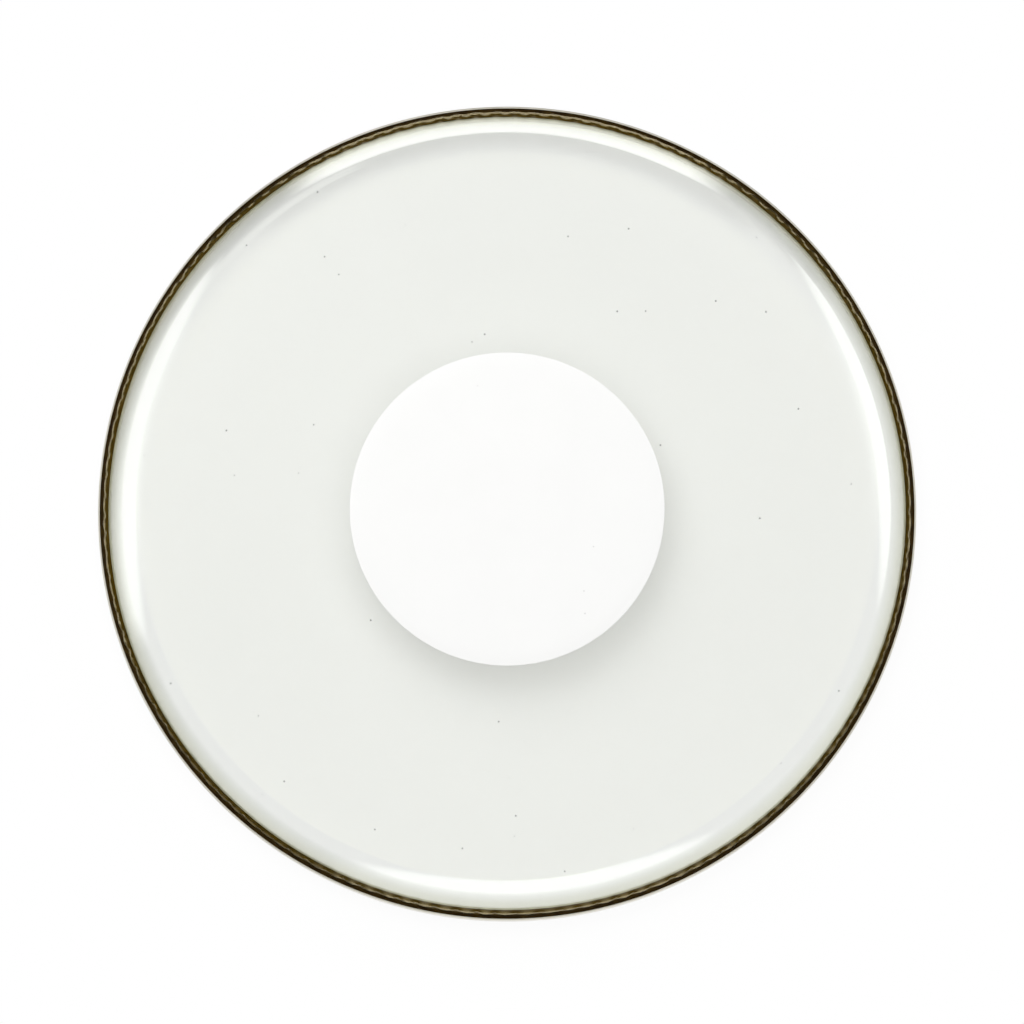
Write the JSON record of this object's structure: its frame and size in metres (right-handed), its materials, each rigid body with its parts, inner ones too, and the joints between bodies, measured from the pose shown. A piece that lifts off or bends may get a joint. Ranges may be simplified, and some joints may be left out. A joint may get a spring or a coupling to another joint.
{
  "type": "drum head",
  "caption": "Clear drum head: film plies with a formed collar, crimped and potted in a channel hoop, with a white centre dot.",
  "frame": {"origin": "centre of the hoop's bottom face", "axes": "+Z is the head's axis, up through the struck face; X and Y lie in the plane of the hoop"},
  "size_m": [0.3699, 0.37, 0.0222],
  "materials": {
    "channel_metal": "roll-formed, satin",
    "potting_resin": "cast, glossy dark amber",
    "clear_film": "clear polyester film",
    "adhesive": "thin transfer adhesive",
    "white_film": "satin white polyester film"
  },
  "bodies": {
    "root": {"hoop_channel": "channel_metal", "resin_ring": "potting_resin", "bottom_ply": "clear_film", "top_ply": "clear_film", "dot_adhesive": "adhesive", "dot_film": "white_film"}
  },
  "joints": []
}
